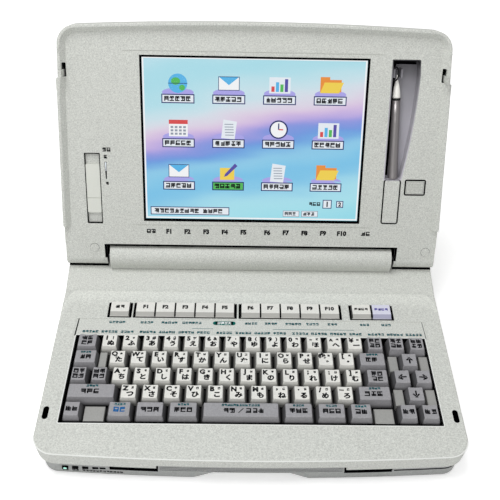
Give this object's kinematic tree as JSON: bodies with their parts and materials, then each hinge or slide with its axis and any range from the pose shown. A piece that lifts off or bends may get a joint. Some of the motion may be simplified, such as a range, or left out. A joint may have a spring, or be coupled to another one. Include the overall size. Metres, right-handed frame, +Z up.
{
  "type": "portable word processor",
  "caption": "Portable word processor: keyboard base with slide-out handle, side disk drive and rear printer; hinged lid with touch screen, pen well and side latches.",
  "frame": {"origin": "on the table, under the middle of the case", "axes": "+Z up, +X to the user's right, +Y to the back"},
  "size_m": [0.3736, 0.3738, 0.2705],
  "materials": {
    "case_upper": "fine-grained moulded ABS, warm light grey",
    "case_lower": "fine-grained moulded ABS, light grey",
    "key_light": "satin moulded key caps, ivory grey",
    "key_dark": "satin moulded key caps, mid grey",
    "key_lavender": "satin moulded key cap, pale lavender",
    "filler_grey": "satin moulded plastic, grey",
    "slider_white": "satin moulded plastic, off white",
    "black_plastic": "matt black plastic",
    "tray_dark": "matt dark violet-grey plastic",
    "rubber": "matt rubber",
    "steel": "plated steel",
    "circuit_board": "green solder mask",
    "screen_glass": "thin anti-glare touch glass",
    "display": "lit colour display",
    "pen_silver": "satin silver paint",
    "pen_ivory": "glossy ivory plastic",
    "lamp": "dark tinted lens"
  },
  "bodies": {
    "base": {"bottom_case": "case_lower", "top_case": "case_upper", "printer_housing": "case_upper", "hinge_cover": "case_upper", "hinge_pins": "steel", "keyboard_plate": "black_plastic", "key_fillers": "filler_grey", "letter_keys": "key_light", "editing_keys": "key_dark", "main_board": "circuit_board", "power_supply": "steel", "power_inlet": "black_plastic", "disk_drive": "case_lower", "carriage_rail": "steel", "rubber_feet": "rubber", "case_screws": "steel", "status_lamps": "lamp"},
    "lid": {"lid_bezel": "case_upper", "lid_shell": "case_upper", "touch_glass": "screen_glass", "lcd_panel": "display", "inverter_board": "circuit_board", "pen_tray": "tray_dark", "pen_holder": "case_upper", "lid_bumpers": "case_upper"},
    "pen": {"pen_barrel": "pen_silver", "pen_tip": "pen_ivory"},
    "slider": {"brightness_slider": "slider_white"},
    "screen_button": {"side_button": "case_upper"},
    "latch_l": {"latch_left": "case_upper"},
    "latch_r": {"latch_right": "case_upper"},
    "platen": {"platen_roller": "rubber"},
    "carriage": {"print_carriage": "black_plastic", "ribbon_cassette": "filler_grey"},
    "cover": {"printer_cover": "case_upper"},
    "eject": {"eject_button": "key_dark"},
    "rocker": {"power_switch": "black_plastic"},
    "handle": {"carry_handle": "case_lower"},
    "key_switch": {"key_switch": "key_light"},
    "key_f1": {"key_f1": "key_light"},
    "key_f2": {"key_f2": "key_light"},
    "key_f3": {"key_f3": "key_light"},
    "key_f4": {"key_f4": "key_light"},
    "key_f5": {"key_f5": "key_light"},
    "key_f6": {"key_f6": "key_light"},
    "key_f7": {"key_f7": "key_light"},
    "key_f8": {"key_f8": "key_light"},
    "key_f9": {"key_f9": "key_light"},
    "key_f10": {"key_f10": "key_light"},
    "key_case": {"key_case": "key_light"},
    "key_menu": {"key_menu": "key_lavender"},
    "key_enter": {"key_enter": "key_dark"},
    "key_shift_left": {"key_shift_left": "key_dark"},
    "key_shift_right": {"key_shift_right": "key_dark"},
    "key_convert": {"key_convert": "key_dark"},
    "key_up": {"key_up": "key_dark"},
    "key_left": {"key_left": "key_dark"},
    "key_right": {"key_right": "key_dark"},
    "key_down": {"key_down": "key_dark"}
  },
  "joints": [
    {"name": "lid_hinge", "type": "hinge", "parent": "base", "child": "lid", "pos_m": [0, 0.0425, 0.0517], "axis": [-1, 0, 0], "range_deg": [-112, 7]},
    {"name": "pen_slide", "type": "slide", "parent": "lid", "child": "pen", "axis": [-0.0359, 0.3744, 0.9266], "range_m": [0, 0.0063]},
    {"name": "brightness_slide", "type": "slide", "parent": "lid", "child": "slider", "axis": [0, 0.3746, 0.9272], "range_m": [-0.0102, 0.0102]},
    {"name": "side_button_press", "type": "slide", "parent": "lid", "child": "screen_button", "axis": [0, 0.9272, -0.3746], "range_m": [0, 0.0015], "stiffness_N_per_m": 300, "springref_m": -0.001},
    {"name": "latch_left_press", "type": "slide", "parent": "lid", "child": "latch_l", "axis": [1, 0, 0], "range_m": [0, 0.0012], "stiffness_N_per_m": 400, "springref_m": -0.001},
    {"name": "latch_right_press", "type": "slide", "parent": "lid", "child": "latch_r", "axis": [-1, 0, 0], "range_m": [0, 0.0012], "stiffness_N_per_m": 400, "springref_m": -0.001},
    {"name": "platen_turn", "type": "hinge", "parent": "base", "child": "platen", "pos_m": [0, 0.126, 0.04], "axis": [1, 0, 0], "continuous": true},
    {"name": "carriage_slide", "type": "slide", "parent": "base", "child": "carriage", "axis": [1, 0, 0], "range_m": [-0.1, 0.1]},
    {"name": "printer_cover_hinge", "type": "hinge", "parent": "base", "child": "cover", "pos_m": [0, 0.1407, 0.0592], "axis": [-1, 0, 0], "range_deg": [0, 85]},
    {"name": "eject_press", "type": "slide", "parent": "base", "child": "eject", "axis": [-1, 0, 0], "range_m": [0, 0.003], "stiffness_N_per_m": 300, "springref_m": -0.001},
    {"name": "power_rocker", "type": "hinge", "parent": "base", "child": "rocker", "pos_m": [-0.08, 0.1765, 0.012], "axis": [1, 0, 0], "range_deg": [-7, 7]},
    {"name": "handle_slide", "type": "slide", "parent": "base", "child": "handle", "axis": [0, -1, 0], "range_m": [0, 0.045]},
    {"name": "key_switch_press", "type": "slide", "parent": "base", "child": "key_switch", "axis": [0, 0, -1], "range_m": [0, 0.0015], "stiffness_N_per_m": 300, "springref_m": -0.001},
    {"name": "key_f1_press", "type": "slide", "parent": "base", "child": "key_f1", "axis": [0, 0, -1], "range_m": [0, 0.0015], "stiffness_N_per_m": 300, "springref_m": -0.001},
    {"name": "key_f2_press", "type": "slide", "parent": "base", "child": "key_f2", "axis": [0, 0, -1], "range_m": [0, 0.0015], "stiffness_N_per_m": 300, "springref_m": -0.001},
    {"name": "key_f3_press", "type": "slide", "parent": "base", "child": "key_f3", "axis": [0, 0, -1], "range_m": [0, 0.0015], "stiffness_N_per_m": 300, "springref_m": -0.001},
    {"name": "key_f4_press", "type": "slide", "parent": "base", "child": "key_f4", "axis": [0, 0, -1], "range_m": [0, 0.0015], "stiffness_N_per_m": 300, "springref_m": -0.001},
    {"name": "key_f5_press", "type": "slide", "parent": "base", "child": "key_f5", "axis": [0, 0, -1], "range_m": [0, 0.0015], "stiffness_N_per_m": 300, "springref_m": -0.001},
    {"name": "key_f6_press", "type": "slide", "parent": "base", "child": "key_f6", "axis": [0, 0, -1], "range_m": [0, 0.0015], "stiffness_N_per_m": 300, "springref_m": -0.001},
    {"name": "key_f7_press", "type": "slide", "parent": "base", "child": "key_f7", "axis": [0, 0, -1], "range_m": [0, 0.0015], "stiffness_N_per_m": 300, "springref_m": -0.001},
    {"name": "key_f8_press", "type": "slide", "parent": "base", "child": "key_f8", "axis": [0, 0, -1], "range_m": [0, 0.0015], "stiffness_N_per_m": 300, "springref_m": -0.001},
    {"name": "key_f9_press", "type": "slide", "parent": "base", "child": "key_f9", "axis": [0, 0, -1], "range_m": [0, 0.0015], "stiffness_N_per_m": 300, "springref_m": -0.001},
    {"name": "key_f10_press", "type": "slide", "parent": "base", "child": "key_f10", "axis": [0, 0, -1], "range_m": [0, 0.0015], "stiffness_N_per_m": 300, "springref_m": -0.001},
    {"name": "key_case_press", "type": "slide", "parent": "base", "child": "key_case", "axis": [0, 0, -1], "range_m": [0, 0.0015], "stiffness_N_per_m": 300, "springref_m": -0.001},
    {"name": "key_menu_press", "type": "slide", "parent": "base", "child": "key_menu", "axis": [0, 0, -1], "range_m": [0, 0.0015], "stiffness_N_per_m": 300, "springref_m": -0.001},
    {"name": "key_enter_press", "type": "slide", "parent": "base", "child": "key_enter", "axis": [0, 0, -1], "range_m": [0, 0.003], "stiffness_N_per_m": 200, "springref_m": -0.0015},
    {"name": "key_shift_left_press", "type": "slide", "parent": "base", "child": "key_shift_left", "axis": [0, 0, -1], "range_m": [0, 0.003], "stiffness_N_per_m": 200, "springref_m": -0.0015},
    {"name": "key_shift_right_press", "type": "slide", "parent": "base", "child": "key_shift_right", "axis": [0, 0, -1], "range_m": [0, 0.003], "stiffness_N_per_m": 200, "springref_m": -0.0015},
    {"name": "key_convert_press", "type": "slide", "parent": "base", "child": "key_convert", "axis": [0, 0, -1], "range_m": [0, 0.003], "stiffness_N_per_m": 200, "springref_m": -0.0015},
    {"name": "key_up_press", "type": "slide", "parent": "base", "child": "key_up", "axis": [0, 0, -1], "range_m": [0, 0.003], "stiffness_N_per_m": 200, "springref_m": -0.0015},
    {"name": "key_left_press", "type": "slide", "parent": "base", "child": "key_left", "axis": [0, 0, -1], "range_m": [0, 0.003], "stiffness_N_per_m": 200, "springref_m": -0.0015},
    {"name": "key_right_press", "type": "slide", "parent": "base", "child": "key_right", "axis": [0, 0, -1], "range_m": [0, 0.003], "stiffness_N_per_m": 200, "springref_m": -0.0015},
    {"name": "key_down_press", "type": "slide", "parent": "base", "child": "key_down", "axis": [0, 0, -1], "range_m": [0, 0.003], "stiffness_N_per_m": 200, "springref_m": -0.0015}
  ]
}
